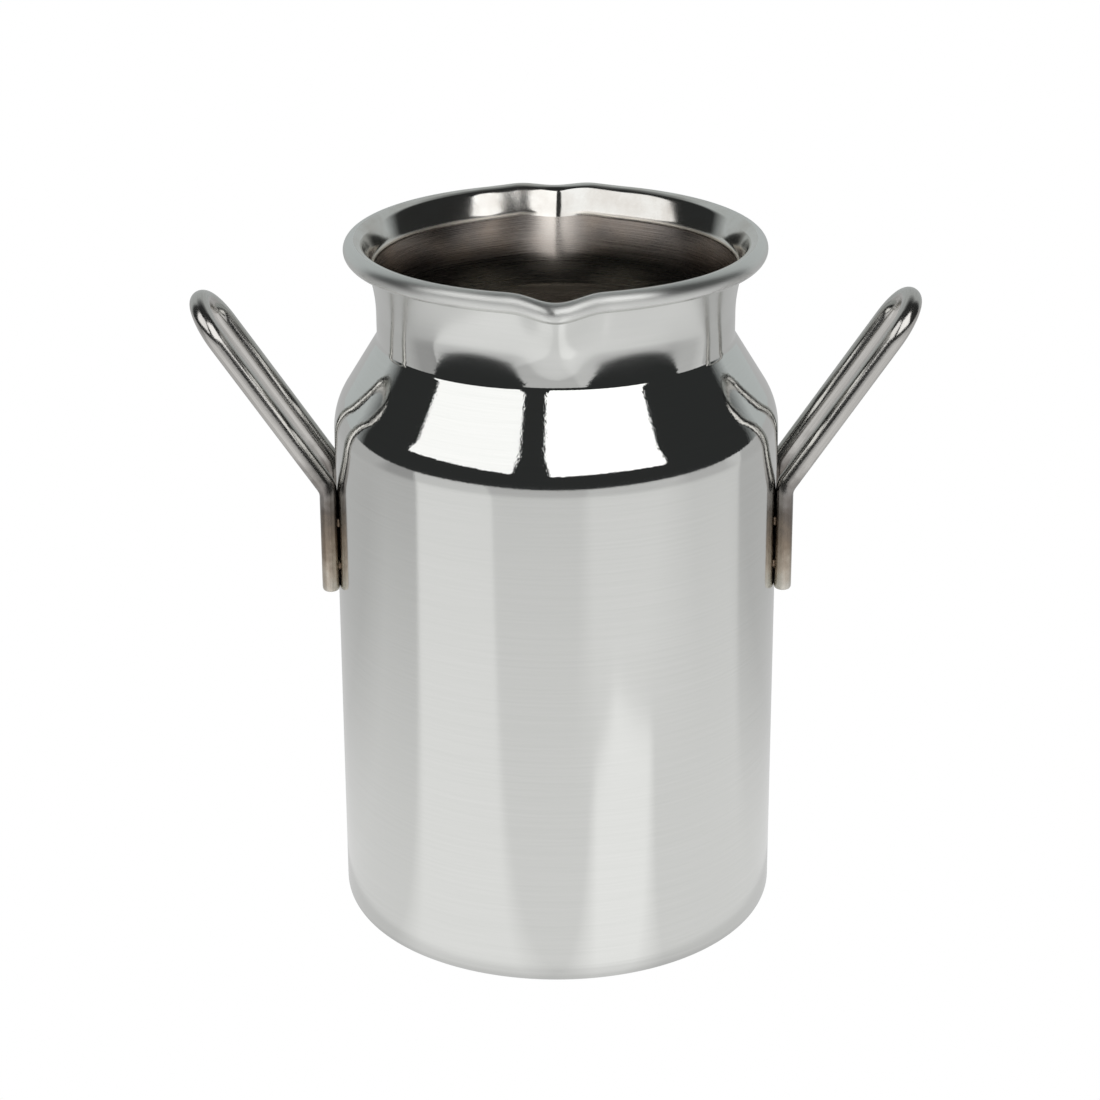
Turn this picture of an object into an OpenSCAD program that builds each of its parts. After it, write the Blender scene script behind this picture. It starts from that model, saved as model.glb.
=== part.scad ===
// Miniature milk can: a drawn steel body with a rolled pouring rim and two welded wire handles.
// Millimetres. +Z is up, the origin is the centre of the base, and the pour lips point along -Y and +Y.

/* [Body] */
// Height over the rolled rim
can_h = 85; // [82:0.5:95]
// Outside diameter of the straight wall
body_d = 53; // [51:0.5:58]
// Thickness of the sheet
sheet = 0.6; // [0.4:0.1:0.8]
// Outside radius of the corner round the base
base_r = 2.4; // [1.6:0.1:4]

/* [Shoulder and neck] */
// Height at which the straight wall ends
wall_top_z = 61.8; // [58:0.2:64]
// Outside radius of the bend from the wall into the shoulder
shoulder_r = 9; // [4:0.5:11]
// Slope of the shoulder, measured from the vertical
shoulder_tilt = 31.5; // [29:0.5:38]
// Outside diameter of the neck where it is narrowest
neck_d = 42.3; // [41:0.1:44]
// Radius of the hollow corner between the shoulder and the neck
neck_corner_r = 1.5; // [1:0.1:3]
// Height at which the neck starts to flare towards the rim
flare_z = 76; // [75.5:0.1:78]

/* [Rolled rim] */
// Diameter over the rolled rim, away from the lips
rim_d = 49.7; // [49:0.1:51]
// Diameter of the roll itself
roll_d = 2.4; // [2:0.1:3]
// Angle at which the rolled edge ends, under the roll
roll_end = -135; // [-135:1:-90]

/* [Pour lips] */
// Half of the front lip's width at the rim
front_lip_half_w = 6; // [4:0.5:8]
// Half of the back lip's width at the rim
back_lip_half_w = 9; // [4:0.5:11]
// How far a lip is pressed outwards
lip_reach = 1.5; // [0.5:0.1:2.5]
// Half of the width of the dip at a lip's tip
dip_half_w = 5; // [3:0.5:8]
// How far a lip's tip dips
lip_drop = 0.6; // [0:0.1:1.2]

/* [Handles] */
// Diameter of the handle wire
wire_d = 2.4; // [2:0.1:2.8]
// Thickness of the legs, which the welding pressed flatter against the wall
leg_t = 2.1; // [1.9:0.1:2.4]
// Distance between the centres of a handle's two legs
leg_pitch = 9; // [7:0.1:12]
// Height of the cut ends of the legs
leg_bottom_z = 42.4; // [40:0.2:46]
// Height at which the legs meet the arms
bend_z = 55.3; // [53:0.1:57]
// Centre-line radius of the bend between a leg and its arm
bend_r = 3; // [2:0.5:4]
// Lean of the arms away from the vertical
arm_tilt = 34; // [28:1:38]
// Length of a handle from its bend to the centre of the wire at its far end
arm_l = 26.3; // [22:0.1:28]

/* [Welds] */
// Diameter of a weld nugget
weld_d = 1.3; // [1:0.1:1.6]
// How far a nugget reaches into the wall, and into the wire
weld_bite = 0.35; // [0.2:0.05:0.35]
// Height of each leg's lower nugget above its cut end
weld_low = 3; // [2:0.5:4]
// Height of each leg's upper nugget above its cut end
weld_high = 8.5; // [7:0.5:9]

/* [Hidden] */
$fn = 128;

body_r = body_d / 2;
neck_r = neck_d / 2;
roll_r = roll_d / 2;
roll_c = [rim_d / 2 - roll_r, can_h - roll_r];

// The hollow corner's centre is level with the foot of the neck.
shoulder_c = [body_r - shoulder_r, wall_top_z];
neck_corner_x = neck_r + neck_corner_r;
cone_run = shoulder_c[0] - neck_corner_x + (shoulder_r + neck_corner_r) * cos(shoulder_tilt);
cone_l = cone_run / sin(shoulder_tilt);
neck_foot_z = wall_top_z + (shoulder_r + neck_corner_r) * sin(shoulder_tilt) + cone_l * cos(shoulder_tilt);
mouth_z = neck_foot_z + 0.4;

// The flare is the arc that leaves the neck upright and runs smoothly into the roll.
mid_r = neck_r - sheet / 2;
roll_mid_r = roll_r - sheet / 2;
flare_run = roll_c[0] - mid_r;
flare_rise = roll_c[1] - flare_z;
flare_r = (pow(flare_run, 2) + pow(flare_rise, 2) - pow(roll_mid_r, 2)) / (2 * (flare_run - roll_mid_r));
flare_tilt = asin(flare_rise / (flare_r - roll_mid_r));

mouth_steps = 80;
neck_steps = 3;
flare_steps = 7;
roll_steps = 14;
lip_crowding = 16;
tongue_depth = 0.3;
tongue_inset = 0.06;

leg_y = leg_pitch / 2;
leg_turn = asin(leg_y / (body_r + leg_t / 2));
leg_x = (body_r + leg_t / 2) * cos(leg_turn);
bend_start_z = bend_z - bend_r * tan(arm_tilt / 2);
arm_end_x = leg_x + (arm_l - leg_y) * sin(arm_tilt);
arm_end_z = bend_z + (arm_l - leg_y) * cos(arm_tilt);
wire_sides = 20;
bend_steps = 6;
loop_steps = 20;
weld_inner_r = body_r - weld_bite;
weld_l = 2 * weld_bite;

function smooth(u) = let (v = max(0, min(1, u))) v * v * (3 - 2 * v);

// Points of the sheet's middle line, from the neck to the rolled edge: [radius, height, side angle].
// The side angle is the direction from the middle line towards the face that liquid runs over.
neck_line = [for (i = [1:neck_steps]) [mid_r, mouth_z + (flare_z - mouth_z) * i / neck_steps, 180]];
flare_line = [for (i = [1:flare_steps]) let (a = flare_tilt * i / flare_steps)
    [mid_r + flare_r * (1 - cos(a)), flare_z + flare_r * sin(a), 180 - a]];
roll_line = [for (i = [1:roll_steps])
    let (a = 180 - flare_tilt + (roll_end - 180 + flare_tilt) * i / roll_steps)
    [roll_c[0] + roll_mid_r * cos(a), roll_c[1] + roll_mid_r * sin(a), a]];
mouth_line = concat(neck_line, flare_line, roll_line);

// The point at a distance from the middle line, with its height along the line for the lips.
function off_line(p, side) = [p[0] + side * cos(p[2]), p[1] + side * sin(p[2]), p[1]];

// The foot of the mouth is a thinner tongue, buried in the top of the drawn wall.
tongue = [for (z = [mouth_z - tongue_depth, mouth_z + tongue_depth / 4]) [mid_r, z, 180]];
tongue_half = sheet / 2 - tongue_inset;

mouth_outline = concat(
    [for (p = tongue) off_line(p, tongue_half)],
    [for (p = mouth_line) off_line(p, sheet / 2)],
    [for (i = [len(mouth_line) - 1:-1:0]) off_line(mouth_line[i], -sheet / 2)],
    [for (i = [len(tongue) - 1:-1:0]) off_line(tongue[i], -tongue_half)]
);

// Angles round the mouth, closer together at the lips.
mouth_angles = [for (i = [0:mouth_steps - 1]) let (u = i * 360 / mouth_steps) u + lip_crowding * sin(2 * u)];

// How strongly a point is pressed, from 0 to 1: across a lip, and up from the foot of the mouth.
function across(a, half_w) = let (s = roll_c[0] * abs(cos(a))) s < half_w ? pow(cos(90 * s / half_w), 2) : 0;
function up(z) = smooth((z - mouth_z) / (roll_c[1] - roll_r - mouth_z));
function lip_half_w(a) = sin(a) < 0 ? front_lip_half_w : back_lip_half_w;

function mouth_point(p, a) =
    let (push = lip_reach * across(a, lip_half_w(a)) * up(p[2]))
    let (dip = lip_drop * across(a, dip_half_w) * up(p[2]))
    [p[0] * cos(a), p[0] * sin(a) + sign(sin(a)) * push, p[1] - dip];

// Points of a handle's centre line: [x, y, z, lean, turn, thickness]. The lean is away from the vertical,
// and the turn goes from 0 on the way up one leg, round the loop, to 180 on the way down the other.
wire_side = concat(
    [[leg_x, leg_bottom_z, 0, leg_t]],
    [for (i = [0:bend_steps])
        let (a = arm_tilt * i / bend_steps, thickness = leg_t + (wire_d - leg_t) * i / bend_steps)
        [leg_x + bend_r * (1 - cos(a)), bend_start_z + bend_r * sin(a), a, thickness]],
    [[arm_end_x, arm_end_z, arm_tilt, wire_d]]
);
wire_loop = [for (i = [1:loop_steps - 1]) let (t = 180 * i / loop_steps, out = leg_y * sin(t))
    [arm_end_x + out * sin(arm_tilt), -leg_y * cos(t), arm_end_z + out * cos(arm_tilt), arm_tilt, t, wire_d]];
wire_path = concat(
    [for (p = wire_side) [p[0], -leg_y, p[1], p[2], 0, p[3]]],
    wire_loop,
    [for (i = [len(wire_side) - 1:-1:0]) let (p = wire_side[i]) [p[0], leg_y, p[1], p[2], 180, p[3]]]
);

// A point on the wire's skin, at an angle round the centre line. A thinner section is wider by as much.
function wire_point(p, a) =
    let (along = [sin(p[3]), 0, cos(p[3])], outwards = [cos(p[3]), 0, -sin(p[3])])
    let (sideways = [0, cos(p[4]), 0] - sin(p[4]) * along)
    [p[0], p[1], p[2]] + p[5] / 2 * cos(a) * outwards + pow(wire_d, 2) / p[5] / 2 * sin(a) * sideways;

// The body's outline, from the axis to the sheet's outer face, moved inwards by inset and cut off at top_z.
module body_outline(inset, top_z) {
    arc_r = shoulder_r - inset;
    corner_r = neck_corner_r + inset;
    cone_side = [cos(shoulder_tilt), sin(shoulder_tilt)];
    neck_foot = [neck_corner_x, neck_foot_z];
    translate([0, inset]) square([body_r - base_r, wall_top_z - inset]);
    translate([0, base_r]) square([body_r - inset, wall_top_z - base_r]);
    translate([body_r - base_r, base_r]) circle(base_r - inset);
    difference() {
        union() {
            translate(shoulder_c) intersection() {
                circle(arc_r);
                translate([0, -arc_r / 2]) square(2 * arc_r);
            }
            polygon([
                [0, wall_top_z - 1], [body_r - inset - 1, wall_top_z - 1], shoulder_c + [arc_r, 0],
                shoulder_c + arc_r * cone_side, neck_foot - corner_r * cone_side,
                [neck_r - inset, neck_foot_z], [neck_r - inset, top_z], [0, top_z]
            ]);
        }
        translate(neck_foot) circle(corner_r);
    }
}

module drawn_wall() {
    rotate_extrude() difference() {
        body_outline(0, mouth_z);
        body_outline(sheet, mouth_z + 1);
    }
}

// The top of the neck, its flare and its roll, with the lips pressed into them.
module mouth() {
    rings = len(mouth_outline);
    steps = len(mouth_angles);
    points = [for (p = mouth_outline, a = mouth_angles) mouth_point(p, a)];
    faces = [for (i = [0:rings - 1], j = [0:steps - 1])
        let (i2 = (i + 1) % rings, j2 = (j + 1) % steps)
        let (a = i * steps + j, b = i * steps + j2, c = i2 * steps + j2, d = i2 * steps + j)
        each [[a, b, c], [a, c, d]]];
    polyhedron(points, faces);
}

// The wire of one handle, on the +X side: one ring of points for each point of its path.
module wire_handle() {
    rings = len(wire_path);
    points = [for (p = wire_path, i = [0:wire_sides - 1]) wire_point(p, i * 360 / wire_sides)];
    wall = [for (i = [0:rings - 2], j = [0:wire_sides - 1])
        let (j2 = (j + 1) % wire_sides)
        let (a = i * wire_sides + j, b = i * wire_sides + j2)
        each [[a, a + wire_sides, b + wire_sides], [a, b + wire_sides, b]]];
    first_end = [for (j = [0:wire_sides - 1]) j];
    last_end = [for (j = [wire_sides - 1:-1:0]) (rings - 1) * wire_sides + j];
    polyhedron(points, concat(wall, [first_end, last_end]));
}

// The nuggets that fuse one handle's legs to the wall, on the +X side.
module nuggets() {
    for (side = [-1, 1], h = [weld_low, weld_high])
        rotate([0, 0, side * leg_turn]) translate([weld_inner_r, 0, leg_bottom_z + h])
            rotate([0, 90, 0]) cylinder(h = weld_l, d = weld_d);
}

module on_side(side) {
    rotate([0, 0, side == "left" ? 180 : 0]) children();
}

module can_body() {
    color("lightgray") difference() {
        union() {
            drawn_wall();
            mouth();
        }
        for (side = ["left", "right"]) on_side(side) nuggets();
    }
}

module handle(side) {
    color("silver") on_side(side) difference() {
        wire_handle();
        nuggets();
    }
}

module handle_welds(side) {
    color("tan") on_side(side) nuggets();
}

can_body();
handle("left");  // left_handle
handle("right");  // right_handle
handle_welds("left");  // left_handle_welds
handle_welds("right");  // right_handle_welds
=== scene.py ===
import math
from math import asin, atan2, cos, pi, radians, sin, tan

import bpy
from mathutils import Matrix, Vector


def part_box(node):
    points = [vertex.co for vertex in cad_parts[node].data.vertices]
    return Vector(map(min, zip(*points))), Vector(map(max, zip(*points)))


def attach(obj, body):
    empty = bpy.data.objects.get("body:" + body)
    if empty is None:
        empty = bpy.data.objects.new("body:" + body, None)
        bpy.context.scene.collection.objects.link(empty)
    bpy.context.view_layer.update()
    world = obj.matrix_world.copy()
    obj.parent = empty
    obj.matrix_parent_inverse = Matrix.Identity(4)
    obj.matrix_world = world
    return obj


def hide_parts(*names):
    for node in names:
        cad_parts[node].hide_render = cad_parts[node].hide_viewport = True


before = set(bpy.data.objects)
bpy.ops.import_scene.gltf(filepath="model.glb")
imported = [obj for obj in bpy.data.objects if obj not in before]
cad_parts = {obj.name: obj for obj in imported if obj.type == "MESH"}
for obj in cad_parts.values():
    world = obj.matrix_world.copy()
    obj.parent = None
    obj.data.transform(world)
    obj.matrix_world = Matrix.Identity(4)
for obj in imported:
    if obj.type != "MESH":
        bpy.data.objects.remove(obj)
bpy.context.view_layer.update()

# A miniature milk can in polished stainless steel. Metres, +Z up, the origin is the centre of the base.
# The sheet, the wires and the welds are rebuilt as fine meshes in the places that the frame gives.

MM = 0.001

# Sizes read from the frame.
CAN_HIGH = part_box("can_body")[1]
BODY_R = CAN_HIGH.x
CAN_H = CAN_HIGH.z
HANDLE_LOW, HANDLE_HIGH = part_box("right_handle")
WELD_LOW, WELD_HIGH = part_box("right_handle_welds")

# The drawn sheet, as designed.
SHEET = 0.6 * MM
BASE_R = 2.4 * MM
WALL_TOP_Z = 61.8 * MM
SHOULDER_R = 9 * MM
SHOULDER_TILT = radians(31.5)
NECK_R = 21.15 * MM
NECK_CORNER_R = 1.5 * MM
FLARE_Z = 76 * MM
ROLL_R = 1.2 * MM
RIM_R = 24.85 * MM
ROLL_END = radians(-135)

# The pour lips, as designed.
FRONT_LIP_HALF_W = 6 * MM
BACK_LIP_HALF_W = 9 * MM
LIP_REACH = 1.5 * MM
DIP_HALF_W = 5 * MM
LIP_DROP = 0.6 * MM
LIP_FOOT = 0.4 * MM

# How the neck is drawn in on both sides of a lip: angle from the lip, spread, lean and heights.
PINCH_TURN = radians(26.5)
PINCH_WIDTH = radians(19)
PINCH_SLOPE = 0.27
PINCH_POWER = 1.3
PINCH_RISE = 3.6 * MM
PINCH_FADE = 9.0 * MM

# The ridge inside the mouth where the polish ends, and the polish that runs on into the back lip.
CREASE_Z = 81.8 * MM
CREASE_H = 0.19 * MM
CREASE_STEP = 0.11 * MM
SHINE_HALF_W = 3.1 * MM
SHINE_DEPTH = 7 * MM

# The handle wire, as designed. Each cut end is rounded: [depth in mm, share of the full section].
WIRE_R = 1.2 * MM
LEG_T = 2.1 * MM
ARM_TILT = radians(34)
BEND_R = 3 * MM
END_ROUNDING = ((0.0, 0.55), (0.0, 0.82), (0.04, 0.91), (0.16, 0.97), (0.45, 1.0))

# A weld bead: its half sizes outward from the wall, along the wall and upward.
BEAD_OUT = 0.34 * MM
BEAD_ALONG = 0.62 * MM
BEAD_UP = 0.65 * MM

# Material zones of the sheet.
POLISHED = 0
DARK = 1
MOUTH = 2

# How finely the meshes are divided. More points stand at the lips than at the handles.
AROUND_STEPS = 256
LIP_CROWDING = radians(16)
CUT_EDGE_RINGS = 2
WIRE_SIDES = 40
LEG_STEPS = 14
BEND_STEPS = 16
ARM_STEPS = 16
LOOP_STEPS = 56
BEAD_ROWS = 14
BEAD_COLUMNS = 24


def line(start, end, steps):
    """Points from start up to, but without, end."""
    return [tuple(a + (b - a) * i / steps for a, b in zip(start, end)) for i in range(steps)]


def arc(centre, radius, start, end, steps):
    """Points round a circle from one angle up to, but without, another."""
    angles = [start + (end - start) * i / steps for i in range(steps)]
    return [(centre[0] + radius * cos(a), centre[1] + radius * sin(a)) for a in angles]


def smooth(u):
    """0 below 0, 1 above 1, and an even S between them."""
    v = max(0.0, min(1.0, u))
    return v * v * (3 - 2 * v)


# ---------------------------------------------------------------- the sheet

SHOULDER_C = (BODY_R - SHOULDER_R, WALL_TOP_Z)
CORNER_X = NECK_R + NECK_CORNER_R
CONE_RUN = SHOULDER_C[0] - CORNER_X + (SHOULDER_R + NECK_CORNER_R) * cos(SHOULDER_TILT)
NECK_FOOT_Z = WALL_TOP_Z + (SHOULDER_R + NECK_CORNER_R) * sin(SHOULDER_TILT) + CONE_RUN / tan(SHOULDER_TILT)
ROLL_C = (RIM_R - ROLL_R, CAN_H - ROLL_R)
ROLL_MID_R = ROLL_R - SHEET / 2
MID_R = NECK_R - SHEET / 2


def flare():
    """Radius and final tilt of the middle line's arc from the neck into the roll."""
    run = ROLL_C[0] - MID_R
    rise = ROLL_C[1] - FLARE_Z
    radius = (run ** 2 + rise ** 2 - ROLL_MID_R ** 2) / (2 * (run - ROLL_MID_R))
    return radius, asin(rise / (radius - ROLL_MID_R))


def drawn_outline(inset):
    """One face of the drawn sheet, from the axis at the base up to the foot of the neck.

    The last number of each stretch is its count of points.
    """
    wall = BODY_R - inset
    cone_top = (CORNER_X - (NECK_CORNER_R + inset) * cos(SHOULDER_TILT),
                NECK_FOOT_Z - (NECK_CORNER_R + inset) * sin(SHOULDER_TILT))
    cone_foot = (SHOULDER_C[0] + (SHOULDER_R - inset) * cos(SHOULDER_TILT),
                 SHOULDER_C[1] + (SHOULDER_R - inset) * sin(SHOULDER_TILT))
    base_c = (BODY_R - BASE_R, BASE_R)
    return (line((0.0, inset), (base_c[0], inset), 12)
            + arc(base_c, BASE_R - inset, -pi / 2, 0, 30)
            + line((wall, BASE_R), (wall, WALL_TOP_Z), 40)
            + arc(SHOULDER_C, SHOULDER_R - inset, 0, SHOULDER_TILT, 22)
            + line(cone_foot, cone_top, 12)
            + arc((CORNER_X, NECK_FOOT_Z), NECK_CORNER_R + inset, pi + SHOULDER_TILT, pi, 14))


def mouth_face(side):
    """One face of the neck and its roll: side 1 is the face that liquid runs over, -1 the other."""
    flare_r, tilt = flare()
    half = side * SHEET / 2
    neck_x = MID_R - half
    flare_steps, roll_steps = (80, 52) if side > 0 else (28, 36)
    return (line((neck_x, NECK_FOOT_Z), (neck_x, FLARE_Z), 24)
            + arc((MID_R + flare_r, FLARE_Z), flare_r + half, pi, pi - tilt, flare_steps)
            + arc(ROLL_C, ROLL_MID_R + half, pi - tilt, ROLL_END, roll_steps)
            + arc(ROLL_C, ROLL_MID_R + half, ROLL_END, ROLL_END - 0.1, 1))


def shine(angle, z):
    """How far the polish runs on below its end, into the channel of the back lip, from 0 to 1."""
    if sin(angle) < 0:
        return 0.0
    side = cos(angle) * ROLL_C[0] / SHINE_HALF_W
    return math.exp(-(side ** 2)) * smooth(1 - (CREASE_Z - z) / SHINE_DEPTH)


def burr_and_painted_highlight(angle, z):
    """How near a place inside the mouth is to the ridge where the polish stops, from 0 to 1."""
    return math.exp(-(((z - CREASE_Z) / CREASE_H) ** 2)) * (1 - shine(angle, z)) ** 2


def pressed(angle, z, half_width):
    """How strongly the mouth is pressed at a place, from 0 to 1."""
    side = abs(cos(angle)) * ROLL_C[0]
    across = cos(pi / 2 * side / half_width) ** 2 if side < half_width else 0.0
    foot = NECK_FOOT_Z + LIP_FOOT
    return across * smooth((z - foot) / (ROLL_C[1] - ROLL_R - foot))


def on_lips(r, angle, z):
    """A point of the mouth after the front and the back lip are pressed into it."""
    half_width = FRONT_LIP_HALF_W if sin(angle) < 0 else BACK_LIP_HALF_W
    push = math.copysign(LIP_REACH * pressed(angle, z, half_width), sin(angle))
    return (r * cos(angle), r * sin(angle) + push, z - LIP_DROP * pressed(angle, z, DIP_HALF_W))


def pinch(angle, z):
    """Beside each lip the neck's waist was drawn in a little when the lip was pressed out.

    The lean starts where the corner at the neck's foot has the same slope, so that no edge shows.
    """
    turn = abs(atan2(abs(cos(angle)), abs(sin(angle))) - PINCH_TURN)
    slope = PINCH_SLOPE * math.exp(-((turn / PINCH_WIDTH) ** 2))
    lead = slope * NECK_CORNER_R
    above = z - NECK_FOOT_Z
    if above < 0:
        return max(0.0, above + lead) ** 2 / (2 * NECK_CORNER_R)
    left_over = 1 - min(1.0, above / PINCH_RISE)
    depth = slope * (lead / 2 + PINCH_RISE * (1 - left_over ** PINCH_POWER) / PINCH_POWER)
    return depth * (1 - smooth((above - PINCH_RISE) / PINCH_FADE))


def mesh_object(name, verts, faces, grain, material_index=None):
    """A smooth mesh with one grain coordinate for each point."""
    mesh = bpy.data.meshes.new(name)
    mesh.from_pydata(verts, [], faces)
    mesh.shade_smooth()
    layer = mesh.attributes.new("grain", "FLOAT_VECTOR", "POINT")
    layer.data.foreach_set("vector", [c for g in grain for c in g])
    if material_index:
        mesh.polygons.foreach_set("material_index", material_index)
    mesh.validate()
    piece = bpy.data.objects.new(name, mesh)
    bpy.context.scene.collection.objects.link(piece)
    return piece


def zone(r, z):
    """Which finish the face that liquid runs over has at a place."""
    if z < CREASE_Z - CREASE_H:
        return DARK if r < ROLL_C[0] else POLISHED
    return MOUTH if r < ROLL_C[0] else POLISHED


def make_can():
    """The whole sheet as one closed skin: up the outside, round the roll, and down the inside."""
    outside = drawn_outline(0) + mouth_face(-1)
    inside = list(reversed(drawn_outline(SHEET) + mouth_face(1)))
    profile = outside + inside
    lengths = [0.0]
    for a, b in zip(profile, profile[1:]):
        lengths.append(lengths[-1] + math.dist(a, b))
    turns = [2 * pi * i / AROUND_STEPS for i in range(AROUND_STEPS)]
    angles = [t + LIP_CROWDING * sin(2 * t) for t in turns]

    verts = [(0.0, 0.0, profile[0][1])]
    grain = [(0.0, 0.0, 0.0)]
    polish = [(0.0, 0.0)]
    for i in range(1, len(profile) - 1):
        r, z = profile[i]
        inner = i > len(outside) and z < ROLL_C[1]
        for a in angles:
            ridge = burr_and_painted_highlight(a, z) if inner else 0.0
            verts.append(on_lips(r - pinch(a, z) - CREASE_STEP * ridge, a, z))
            grain.append((cos(a), sin(a), lengths[i] / MM))
            polish.append((ridge, shine(a, z)))
    verts.append((0.0, 0.0, profile[-1][1]))
    grain.append((0.0, 0.0, lengths[-1] / MM))
    polish.append((0.0, 0.0))

    faces, zones = [], []
    rings = len(profile) - 2
    last = len(verts) - 1
    for j in range(AROUND_STEPS):
        k = (j + 1) % AROUND_STEPS
        faces.append((0, 1 + k, 1 + j))
        zones.append(POLISHED)
        for i in range(rings - 1):
            low, high = 1 + i * AROUND_STEPS, 1 + (i + 1) * AROUND_STEPS
            faces.append((low + j, low + k, high + k, high + j))
            zones.append(zone(*profile[i + 1]) if i > len(outside) + CUT_EDGE_RINGS else POLISHED)
        top = 1 + (rings - 1) * AROUND_STEPS
        faces.append((last, top + j, top + k))
        zones.append(DARK)
    can = mesh_object("milk_can_sheet", verts, faces, grain, zones)
    for name, values in zip(("burr_and_painted_highlight", "shine"), zip(*polish)):
        can.data.attributes.new(name, "FLOAT", "POINT").data.foreach_set("value", values)
    return can


# ---------------------------------------------------------------- the wires

LEG_HALF_W = 2 * WIRE_R ** 2 / LEG_T
LEG_Y = HANDLE_HIGH.y - LEG_HALF_W
LEG_TURN = asin(LEG_Y / (BODY_R + LEG_T / 2))
LEG_X = (BODY_R + LEG_T / 2) * cos(LEG_TURN)
APEX_X = HANDLE_HIGH.x - WIRE_R
APEX_Z = HANDLE_HIGH.z - WIRE_R
BEND_Z = APEX_Z - (APEX_X - LEG_X) / tan(ARM_TILT)
ARM_END = (APEX_X - LEG_Y * sin(ARM_TILT), APEX_Z - LEG_Y * cos(ARM_TILT))


def wire_path():
    """The centre line on the +X side, from one cut end to the other: [x, y, z, lean, turn, half thickness].

    The welding pressed the legs flatter against the wall.
    """
    bend_start = BEND_Z - BEND_R * tan(ARM_TILT / 2)
    leg = [(LEG_X, z, 0.0, LEG_T / 2) for _, z in line((0, HANDLE_LOW.z), (0, bend_start), LEG_STEPS)]
    bend = []
    for i in range(BEND_STEPS + 1):
        a = ARM_TILT * i / BEND_STEPS
        half = LEG_T / 2 + (WIRE_R - LEG_T / 2) * smooth(i / BEND_STEPS)
        bend.append((LEG_X + BEND_R * (1 - cos(a)), bend_start + BEND_R * sin(a), a, half))
    arm = [(x, z, ARM_TILT, WIRE_R) for x, z in line(bend[-1][:2], ARM_END, ARM_STEPS)[1:]]
    side = leg + bend + arm
    loop = []
    for i in range(LOOP_STEPS + 1):
        t = pi * i / LOOP_STEPS
        out = LEG_Y * sin(t)
        x, z = ARM_END[0] + out * sin(ARM_TILT), ARM_END[1] + out * cos(ARM_TILT)
        loop.append((x, -LEG_Y * cos(t), z, ARM_TILT, t, WIRE_R))
    up = [(x, -LEG_Y, z, a, 0.0, half) for x, z, a, half in side]
    down = [(x, LEG_Y, z, a, pi, half) for x, z, a, half in reversed(side)]
    return up + loop + down


def wire_frame(lean, turn):
    """Three directions of a wire's section: away from the can, sideways, and forward along the wire."""
    along = Vector((sin(lean), 0, cos(lean)))
    across = Vector((cos(lean), 0, -sin(lean)))
    sideways = Vector((0, cos(turn), 0)) - sin(turn) * along
    forward = cos(turn) * along + Vector((0, sin(turn), 0))
    return across, sideways, forward


def make_wire(name, mirror):
    """A round wire swept along its path, with the edge of each cut end slightly rounded."""
    rings = []
    length = 0.0
    for x, y, z, lean, turn, half in wire_path():
        centre = Vector((x, y, z))
        if rings:
            length += (centre - rings[-1][0]).length
        rings.append((centre, wire_frame(lean, turn), half, 1.0, length))
    for at_start in (True, False):
        centre, basis, half, _, along = rings[0] if at_start else rings[-1]
        inward = basis[2] if at_start else -basis[2]
        caps = [(centre + inward * (depth * MM), basis, half, scale, along)
                for depth, scale in END_ROUNDING]
        rings = caps + rings[1:] if at_start else rings[:-1] + caps[::-1]
    verts, grain = [], []
    for centre, (across, sideways, _), half, scale, along in rings:
        for k in range(WIRE_SIDES):
            a = 2 * pi * k / WIRE_SIDES
            p = centre + scale * (half * cos(a) * across + WIRE_R ** 2 / half * sin(a) * sideways)
            verts.append((mirror * p.x, mirror * p.y, p.z))
            grain.append((cos(a), sin(a), along / MM))
    faces = []
    for i in range(len(rings) - 1):
        for k in range(WIRE_SIDES):
            n = (k + 1) % WIRE_SIDES
            a, b = i * WIRE_SIDES, (i + 1) * WIRE_SIDES
            faces.append((a + k, a + n, b + n, b + k))
    faces.append(tuple(range(WIRE_SIDES))[::-1])
    top = (len(rings) - 1) * WIRE_SIDES
    faces.append(tuple(top + k for k in range(WIRE_SIDES)))
    return mesh_object(name, verts, faces, grain)


# ---------------------------------------------------------------- the welds

def weld_centres():
    """Where the nuggets sit on the +X side: between each leg and the wall, at two heights."""
    for side in (-1, 1):
        for z in (WELD_LOW.z + BEAD_UP, WELD_HIGH.z - BEAD_UP):
            yield side * LEG_TURN, z


def make_welds(name, mirror):
    """Flattened beads that swell out of the gap on both sides of the contact line."""
    verts, faces, grain = [], [], []
    for bead, (azimuth, z) in enumerate(weld_centres()):
        start = len(verts)
        for i in range(BEAD_ROWS + 1):
            polar = pi * i / BEAD_ROWS
            for k in range(BEAD_COLUMNS):
                a = 2 * pi * k / BEAD_COLUMNS
                ripple = 1 + 0.07 * sin(3 * a + bead) * sin(polar)
                ripple += 0.05 * sin(5 * a - 2 * bead + 3 * polar)
                tangential = BEAD_ALONG * sin(polar) * cos(a) * ripple
                upward = BEAD_UP * sin(polar) * sin(a) * ripple
                r = BODY_R + BEAD_OUT * cos(polar)
                x = r * cos(azimuth) - tangential * sin(azimuth)
                y = r * sin(azimuth) + tangential * cos(azimuth)
                verts.append((mirror * x, mirror * y, z + upward))
                grain.append((cos(a), sin(a), upward / MM))
        for i in range(BEAD_ROWS):
            for k in range(BEAD_COLUMNS):
                n = (k + 1) % BEAD_COLUMNS
                a, b = start + i * BEAD_COLUMNS, start + (i + 1) * BEAD_COLUMNS
                faces.append((a + k, b + k, b + n, a + n))
    return mesh_object(name, verts, faces, grain)


# ---------------------------------------------------------------- materials

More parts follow.
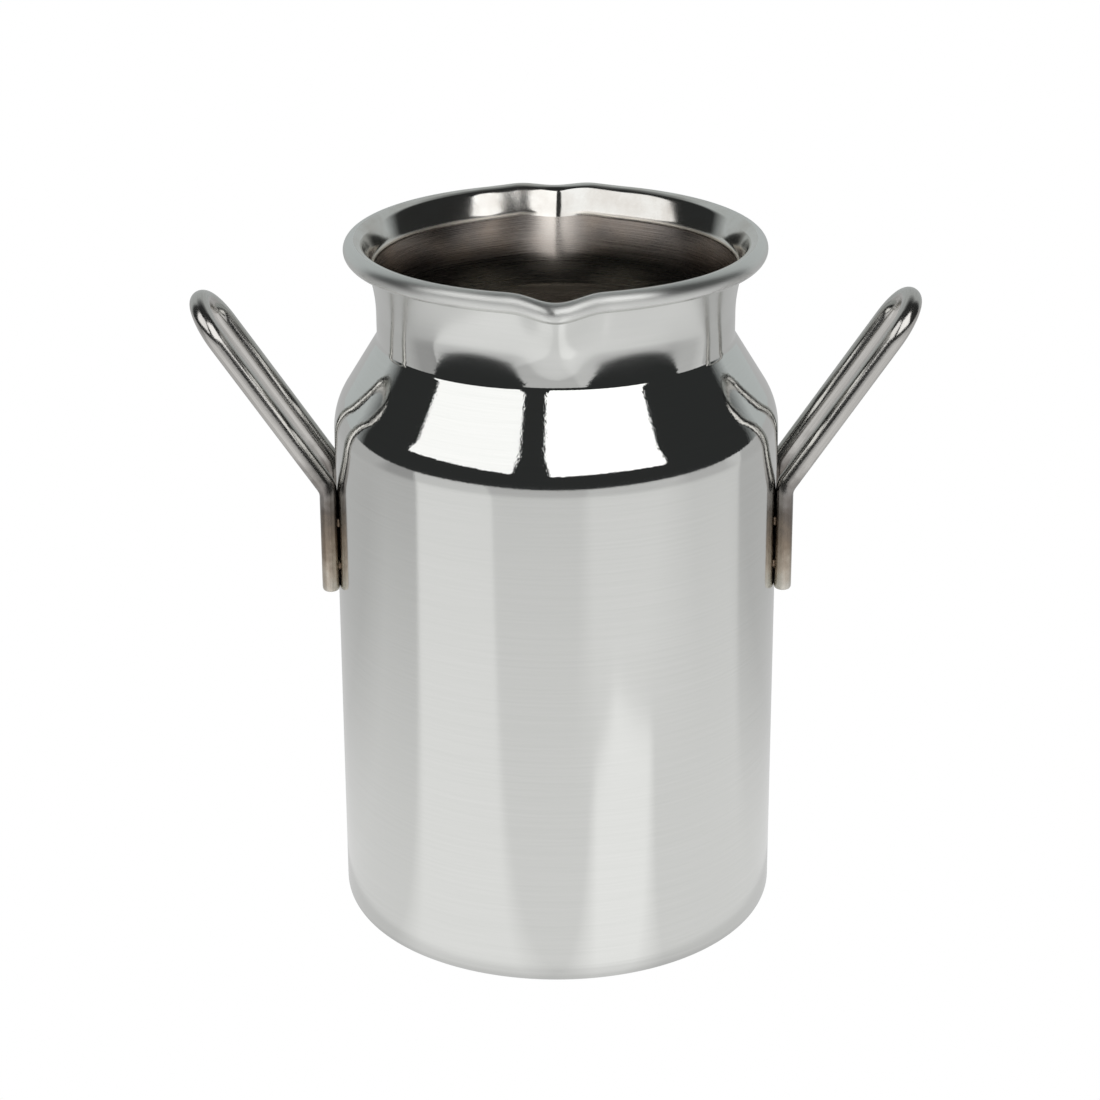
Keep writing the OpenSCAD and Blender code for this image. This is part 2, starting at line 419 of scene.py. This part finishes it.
class Nodes:
    """A short way to add shader nodes to a material or a world, and to join them."""

    def __init__(self, owner):
        owner.use_nodes = True
        self.owner = owner
        self.tree = owner.node_tree

    def add(self, kind, settings=None, **inputs):
        """A new node. The named inputs are links or values, with _ for a space in the name."""
        node = self.tree.nodes.new(kind)
        for key, value in (settings or {}).items():
            setattr(node, key, value)
        for key, value in inputs.items():
            self.put(node, key.replace("_", " "), value)
        return node

    def put(self, node, key, value):
        """Link or set one input of a node, found by its name or its number."""
        socket = node.inputs[int(key)] if key.isdigit() else node.inputs[key]
        if isinstance(value, bpy.types.NodeSocket):
            self.tree.links.new(value, socket)
        else:
            socket.default_value = value

    def grain(self, around, along):
        """Coordinates that run round and along a piece, at the given fineness each way."""
        source = self.add("ShaderNodeAttribute", {"attribute_name": "grain"})
        scaled = self.add("ShaderNodeVectorMath", {"operation": "MULTIPLY"})
        self.put(scaled, "0", source.outputs["Vector"])
        self.put(scaled, "1", (around, around, along))
        return scaled.outputs["Vector"]

    def place(self):
        """Coordinates in metres. Every piece's own origin is the frame's."""
        return self.add("ShaderNodeTexCoord").outputs["Object"]

    def height(self):
        return self.add("ShaderNodeSeparateXYZ", Vector=self.place()).outputs["Z"]

    def stored(self, name):
        """A number that the mesh holds at each of its points."""
        return self.add("ShaderNodeAttribute", {"attribute_name": name}).outputs["Fac"]

    def noise(self, vector, scale, detail=3.0, roughness=0.55):
        return self.add("ShaderNodeTexNoise", Vector=vector, Scale=scale, Detail=detail,
                        Roughness=roughness).outputs["Fac"]

    def remap(self, value, low, high, to_low, to_high):
        """Carry the range from low to high over to another range, and hold the value at its ends."""
        node = self.add("ShaderNodeMapRange", {"clamp": True})
        for key, v in zip("01234", (value, low, high, to_low, to_high)):
            self.put(node, key, v)
        return node.outputs[0]

    def math(self, operation, a, b=0.0, c=0.0):
        node = self.add("ShaderNodeMath", {"operation": operation})
        for key, v in zip("012", (a, b, c)):
            self.put(node, key, v)
        return node.outputs[0]

    def mix(self, factor, a, b):
        node = self.add("ShaderNodeMix", {"data_type": "RGBA"})
        self.put(node, "0", factor)
        self.put(node, "6", a)
        self.put(node, "7", b)
        return node.outputs[2]

    def bump(self, height, distance):
        return self.add("ShaderNodeBump", Strength=1.0, Distance=distance, Height=height).outputs["Normal"]

    def camera_ray(self):
        """1 where the camera looks straight at a thing, 0 in reflections and for light."""
        return self.add("ShaderNodeLightPath").outputs["Is Camera Ray"]

    def finish(self, **inputs):
        """Set the material's main shader, and give the material."""
        for key, value in inputs.items():
            self.put(self.tree.nodes["Principled BSDF"], key.replace("_", " "), value)
        return self.owner

    def glow(self, strength):
        """Make the material a light of the given strength, and give the material."""
        light = self.add("ShaderNodeEmission", Strength=strength)
        self.put(self.tree.nodes["Material Output"], "Surface", light.outputs[0])
        return self.owner


def material_nodes(name):
    return Nodes(bpy.data.materials.new(name))


def steel_color(n, fineness):
    """Two near greys of stainless steel, mixed by the brushing."""
    share = n.remap(fineness, 0.35, 0.65, 0.0, 1.0)
    return n.mix(share, (0.740, 0.746, 0.725, 1), (0.765, 0.769, 0.75, 1))


def around_the_axis(n):
    """The direction of lathe brushing."""
    return n.add("ShaderNodeTangent", {"direction_type": "RADIAL", "axis": "Z"}).outputs["Tangent"]


def can_steel():
    """Bright sheet. The shoulder is a mirror, the wall and neck are satin, and the bead is the dullest."""
    n = material_nodes("can_steel")
    height = n.height()
    wall = n.remap(height, WALL_TOP_Z, WALL_TOP_Z + 3 * MM, 0.65, 0.0)
    neck = n.math("ADD", n.remap(height, NECK_FOOT_Z, NECK_FOOT_Z + 1 * MM, 0.0, 0.35),
                  n.remap(height, NECK_FOOT_Z + 1 * MM, NECK_FOOT_Z + 5 * MM, 0.0, 0.65))
    satin = n.math("ADD", wall, neck)
    brushing = n.noise(n.grain(1.5, 4.0), 1.0, 4.0, 0.75)
    smears = n.noise(n.place(), 60.0, 4.0)
    dimples = n.noise(n.place(), 3200.0, 2.0)
    rim = n.math("ADD", n.remap(height, NECK_FOOT_Z, FLARE_Z, 0.0, 0.05),
                 n.remap(height, CAN_H - 2.4 * MM, CAN_H - 1.2 * MM, 0.0, 0.16))
    brushed = n.math("ADD", n.remap(brushing, 0.3, 0.7, 0.08, 0.10),
                     n.remap(smears, 0.35, 0.7, 0.0, 0.03))
    roughness = n.math("MULTIPLY_ADD", satin, n.math("ADD", brushed, rim), 0.035)
    rings = n.math("MULTIPLY", brushing, n.math("MULTIPLY", satin, 0.38))
    relief = n.math("MULTIPLY_ADD", dimples, n.remap(satin, 0.0, 1.0, 2.6, 0.4), rings)
    return n.finish(Base_Color=steel_color(n, brushing), Metallic=1.0, Roughness=roughness,
                    Normal=n.bump(relief, 0.0016 * MM), Anisotropic=n.remap(satin, 0.0, 0.65, 0.0, 0.9),
                    Anisotropic_Rotation=0.25, Tangent=around_the_axis(n))


def mouth_steel():
    """The polished flare inside the rim: smeared, a little stained, with a painted highlight along its
    ridge.
    """
    n = material_nodes("mouth_steel")
    brushing = n.noise(n.grain(1.5, 4.0), 1.0, 4.0, 0.75)
    smears = n.noise(n.place(), 130.0, 5.0, 0.65)
    ridge = n.stored("burr_and_painted_highlight")
    stain = n.remap(smears, 0.40, 0.70, 0.15, 0.65)
    stained = n.mix(stain, steel_color(n, brushing), (0.50, 0.45, 0.40, 1))
    # The near-white tan on the ridge is a painted highlight, laid on the real raised burr.
    color = n.mix(ridge, stained, (0.97, 0.90, 0.80, 1))
    roughness = n.math("MULTIPLY_ADD", ridge, 0.4, n.remap(smears, 0.35, 0.65, 0.06, 0.15))
    relief = n.math("MULTIPLY_ADD", smears, 6.0, n.math("MULTIPLY", brushing, 1.5))
    return n.finish(Base_Color=color, Metallic=1.0, Roughness=roughness,
                    Normal=n.bump(relief, 0.0016 * MM), Anisotropic=0.6,
                    Anisotropic_Rotation=0.25, Tangent=around_the_axis(n))


def bore_steel():
    """The unpolished inside: painted dark as the shade in the hollow, with rings from drawing, lighter deep
    down and in the back lip.
    """
    n = material_nodes("bore_steel")
    rings = n.noise(n.grain(1.3, 11.0), 1.0, 9.0, 0.8)
    patches = n.noise(n.place(), 110.0, 3.0)
    # The near-black greys are painted shade of the hollow, not the steel's own colour; the rings and brown
    # patches are the steel's own marks.
    dark = n.mix(n.remap(rings, 0.38, 0.68, 0.0, 1.0), (0.075, 0.065, 0.058, 1), (0.33, 0.30, 0.28, 1))
    color = n.mix(n.remap(patches, 0.45, 0.7, 0.0, 0.6), dark, (0.30, 0.24, 0.19, 1))
    worn = n.stored("shine")
    height = n.height()
    deep = n.remap(height, CREASE_Z - 4 * MM, NECK_FOOT_Z, 0.0, 0.8)
    color = n.mix(deep, color, n.mix(rings, (0.45, 0.38, 0.32, 1), (0.80, 0.76, 0.72, 1)))
    color = n.mix(worn, color, (0.56, 0.52, 0.48, 1))
    roughness = n.math("MULTIPLY_ADD", worn, -0.05, n.remap(rings, 0.3, 0.7, 0.2, 0.36))
    return n.finish(Base_Color=color, Metallic=1.0, Roughness=roughness, Normal=n.bump(rings, 0.012 * MM))


def wire_steel():
    """Drawn wire: fine lines along it, small pits, and legs browned and greyed by the welding."""
    n = material_nodes("wire_steel")
    lines = n.noise(n.grain(9.0, 0.25), 1.0, 5.0, 0.7)
    pits = n.noise(n.place(), 2600.0, 2.0)
    clouds = n.noise(n.place(), 420.0, 4.0)
    height = n.height()
    wander = n.math("ADD", height, n.remap(clouds, 0.3, 0.7, -1.8 * MM, 1.8 * MM))
    up_the_leg = n.remap(wander, HANDLE_LOW.z, HANDLE_LOW.z + 20 * MM, 0.0, 1.0)
    ramp = n.add("ShaderNodeValToRGB", Fac=up_the_leg)
    heat_bands(ramp.color_ramp)
    steel = n.mix(n.remap(lines, 0.35, 0.65, 0.0, 1.0), (0.60, 0.59, 0.57, 1), (0.74, 0.73, 0.71, 1))
    tinted = n.add("ShaderNodeMix", {"data_type": "RGBA", "blend_type": "MULTIPLY"})
    n.put(tinted, "0", 1.0)
    n.put(tinted, "6", steel)
    n.put(tinted, "7", ramp.outputs["Color"])
    scaled = n.remap(wander, HANDLE_LOW.z + 8 * MM, HANDLE_LOW.z + 15 * MM, 0.10, 0.0)
    roughness = n.math("ADD", n.remap(lines, 0.3, 0.7, 0.12, 0.22), scaled)
    relief = n.math("MULTIPLY_ADD", n.remap(pits, 0.3, 0.5, 0.0, 1.0), 0.5, lines)
    return n.finish(Base_Color=tinted.outputs[2], Metallic=1.0, Roughness=roughness,
                    Normal=n.bump(relief, 0.005 * MM))


def heat_bands(ramp):
    """Tints along a leg, from its cut end upwards: straw, brown, grey oxide, and then bare steel."""
    bands = ((0.0, (0.98, 0.95, 0.88)), (0.12, (0.80, 0.71, 0.61)), (0.28, (0.45, 0.37, 0.30)),
             (0.48, (0.26, 0.23, 0.21)), (0.64, (0.46, 0.44, 0.43)), (0.85, (0.88, 0.87, 0.86)))
    while len(ramp.elements) < len(bands):
        ramp.elements.new(1.0)
    for element, (position, tint) in zip(ramp.elements, bands):
        element.position = position
        element.color = (*tint, 1)


def weld_steel():
    """Fused metal with a dull oxide skin."""
    n = material_nodes("weld_steel")
    skin = n.noise(n.place(), 1500.0, 4.0)
    color = n.mix(n.remap(skin, 0.35, 0.65, 0.0, 1.0), (0.12, 0.085, 0.06, 1), (0.42, 0.33, 0.25, 1))
    return n.finish(Base_Color=color, Metallic=1.0, Roughness=n.remap(skin, 0.3, 0.7, 0.3, 0.5),
                    Normal=n.bump(skin, 0.02 * MM))


# ---------------------------------------------------------------- the object

can = make_can()
can.data.materials.append(can_steel())
can.data.materials.append(bore_steel())
can.data.materials.append(mouth_steel())
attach(can, "root")
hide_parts("can_body")

wire_material = wire_steel()
weld_material = weld_steel()
for side_name, mirror in (("right", 1), ("left", -1)):
    wire = make_wire(side_name + "_wire_handle", mirror)
    wire.data.materials.append(wire_material)
    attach(wire, "root")
    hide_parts(side_name + "_handle")
    welds = make_welds(side_name + "_weld_beads", mirror)
    welds.data.materials.append(weld_material)
    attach(welds, "root")
    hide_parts(side_name + "_handle_welds")


# ---------------------------------------------------------------- floor, light and camera

def panel(name, width, height, corner, material, location, look_at=None):
    """A flat panel with rounded corners, facing up or towards a point."""
    verts = []
    for quarter, (sx, sy) in enumerate(((1, 1), (-1, 1), (-1, -1), (1, -1))):
        centre = (sx * (width / 2 - corner), sy * (height / 2 - corner))
        start = quarter * pi / 2
        verts += [(x, y, 0) for x, y in arc(centre, corner, start, start + pi / 2, 12)]
    mesh = bpy.data.meshes.new(name)
    mesh.from_pydata(verts, [], [tuple(range(len(verts)))])
    mesh.materials.append(material)
    sheet = bpy.data.objects.new(name, mesh)
    sheet.location = location
    if look_at is not None:
        sheet.rotation_euler = (look_at - location).to_track_quat("Z", "Y").to_euler()
    bpy.context.scene.collection.objects.link(sheet)


def floor_material():
    """Pale floor that glows: plain white to the camera. The steel sees it greyer, with two painted pools of
    light, painted dimmer patches and a painted contact shadow on it.

    The pools' edges are straight lines on the floor. A line is given by a point in mm and an azimuth.
    """
    n = material_nodes("floor")
    place = n.add("ShaderNodeSeparateXYZ", Vector=n.place())
    x, y = place.outputs["X"], place.outputs["Y"]

    def right_of(start, azimuth, soft=2.5):
        """1 to the right, as seen from the can, of a line that leaves start in the direction azimuth."""
        a = radians(azimuth)
        across = n.math("ADD", n.math("MULTIPLY", x, cos(a)), n.math("MULTIPLY", y, sin(a)))
        at = (start[0] * cos(a) + start[1] * sin(a)) * MM
        return n.remap(across, at - soft * MM, at + soft * MM, 0.0, 1.0)

    def left_of(start, azimuth, soft=2.5):
        return n.math("SUBTRACT", 1.0, right_of(start, azimuth, soft))

    def all_of(*masks):
        product = masks[0]
        for mask in masks[1:]:
            product = n.math("MULTIPLY", product, mask)
        return product

    far = n.math("SQRT", n.math("ADD", n.math("POWER", x, 2.0), n.math("POWER", y, 2.0)))
    # Painted pools of light and painted dimmer patches on the glowing floor, seen only in the steel's
    # reflections.
    painted_left_pool = all_of(right_of((-33, -22), -75), left_of((-14, -45), -35))
    painted_right_pool = all_of(right_of((6, -37), 21), left_of((18, -30), 51),
                        right_of((22, -79), 54, 4), left_of((64, -72), -27, 4))
    painted_right_glow = all_of(right_of((6, -37), 15, 10), left_of((18, -30), 66, 32),
                        n.remap(far, 70 * MM, 130 * MM, 0.0, 1.0))
    painted_left_dim = all_of(left_of((-33, -22), -75, 4), n.remap(far, 40 * MM, 170 * MM, 0.02, 0.17))
    level = n.remap(far, 60 * MM, 260 * MM, 0.78, 0.66)
    painted_distant_dim = all_of(n.remap(far, 225 * MM, 270 * MM, 0.0, 0.13), n.remap(y, 0.0, 60 * MM, 1.0, 0.0))
    painted_back_dim = all_of(n.remap(y, 5 * MM, 45 * MM, 0.0, 0.10), n.remap(far, 120 * MM, 200 * MM, 1.0, 0.0))
    for dim in (painted_left_dim, painted_distant_dim, painted_back_dim):
        level = n.math("SUBTRACT", level, dim)
    for mask, extra in ((painted_left_pool, 0.13), (painted_right_pool, 0.21), (painted_right_glow, 0.09)):
        level = n.math("MULTIPLY_ADD", mask, extra, level)
    # Painted shade ring and painted contact shadow round the can's foot, seen only in the steel's
    # reflections.
    shade = n.remap(far, BODY_R + 3.5 * MM, BODY_R + 5 * MM, 0.84, 1.0)
    contact = n.remap(far, BODY_R - 3 * MM, BODY_R + 1 * MM, 0.6, 1.0)
    level = n.math("MULTIPLY", n.math("MULTIPLY", level, shade), contact)
    seen = n.add("ShaderNodeMix", **{"0": n.camera_ray(), "2": level, "3": 1.0}).outputs[0]
    return n.glow(seen)


FLOOR_WIDTH = 1.7
FLOOR_CORNER = 0.4
FLOOR_GAP = 0.02 * MM
panel("floor", FLOOR_WIDTH, FLOOR_WIDTH, FLOOR_CORNER, floor_material(), Vector((0, 0, -FLOOR_GAP)))

# The softboxes, in metres: rounding of the corners, distance from the can, and lower and upper edge.
SOFTBOX_CORNER = 0.03
SOFTBOX_AWAY = 0.52
SOFTBOX_LOW = 0.23
SOFTBOX_HIGH = 0.95


def softbox(name, azimuth, lean, width, strength):
    """A tall glowing panel that leans over the can. Azimuth 0 is in front, and positive is to the right."""
    a = radians(azimuth)
    level = Vector((0, 0, (SOFTBOX_LOW + SOFTBOX_HIGH) / 2))
    place = Vector((sin(a), -cos(a), 0)) * SOFTBOX_AWAY + level
    aim = level - Vector((0, 0, SOFTBOX_AWAY * tan(radians(lean))))
    light = material_nodes(name).glow(strength)
    panel(name, width, SOFTBOX_HIGH - SOFTBOX_LOW, SOFTBOX_CORNER, light, place, aim)


softbox("softbox_left", -52, 0, 0.60, 1.25)
softbox("softbox_right", 27, 12, 0.69, 1.5)


def studio_world():
    """White to the camera. The steel sees a dark room with a pale backdrop behind the can."""
    n = Nodes(bpy.data.worlds.new("studio"))
    direction = n.add("ShaderNodeTexCoord").outputs["Generated"]
    _, y, z = n.add("ShaderNodeSeparateXYZ", Vector=direction).outputs
    level_part = n.math("SQRT", n.math("SUBTRACT", 1.0, n.math("POWER", z, 2.0)))
    behind = n.remap(n.math("DIVIDE", y, level_part), 0.40, 0.60, 0.0, 1.0)
    low = n.remap(z, 0.70, 0.95, 1.0, 0.0)
    backdrop = n.math("MULTIPLY", behind, low)
    strength = n.math("MULTIPLY_ADD", backdrop, 0.50, 0.030)
    tint = n.add("ShaderNodeVectorMath", {"operation": "SCALE"}, Scale=strength)
    n.put(tint, "0", (0.95, 1.0, 1.0))
    seen = n.mix(n.camera_ray(), tint.outputs[0], (1, 1, 1, 1))
    n.put(n.tree.nodes["Background"], "Color", seen)
    return n.owner


bpy.context.scene.world = studio_world()

# The camera's place and angle, worked out from the can's own ellipses and straight sides.
CAMERA_DISTANCE = 340.2 * MM
CAMERA_HEIGHT = 180.6 * MM
CAMERA_SHIFT = -0.80 * MM
CAMERA_PITCH = radians(21.665)
CAMERA_ROLL = radians(-0.25)
CAMERA_LENS = 98.47
CAMERA_SENSOR = 36

camera_data = bpy.data.cameras.new("camera")
camera_data.sensor_width = CAMERA_SENSOR
camera_data.lens = CAMERA_LENS
camera_data.clip_start = 0.01
camera = bpy.data.objects.new("camera", camera_data)
camera.location = (CAMERA_SHIFT, -CAMERA_DISTANCE, CAMERA_HEIGHT)
camera.rotation_euler = (Matrix.Rotation(pi / 2 - CAMERA_PITCH, 3, "X")
                         @ Matrix.Rotation(CAMERA_ROLL, 3, "Z")).to_euler()
bpy.context.scene.collection.objects.link(camera)
bpy.context.scene.camera = camera

bpy.context.scene.view_settings.view_transform = "Standard"
bpy.context.scene.view_settings.look = "None"
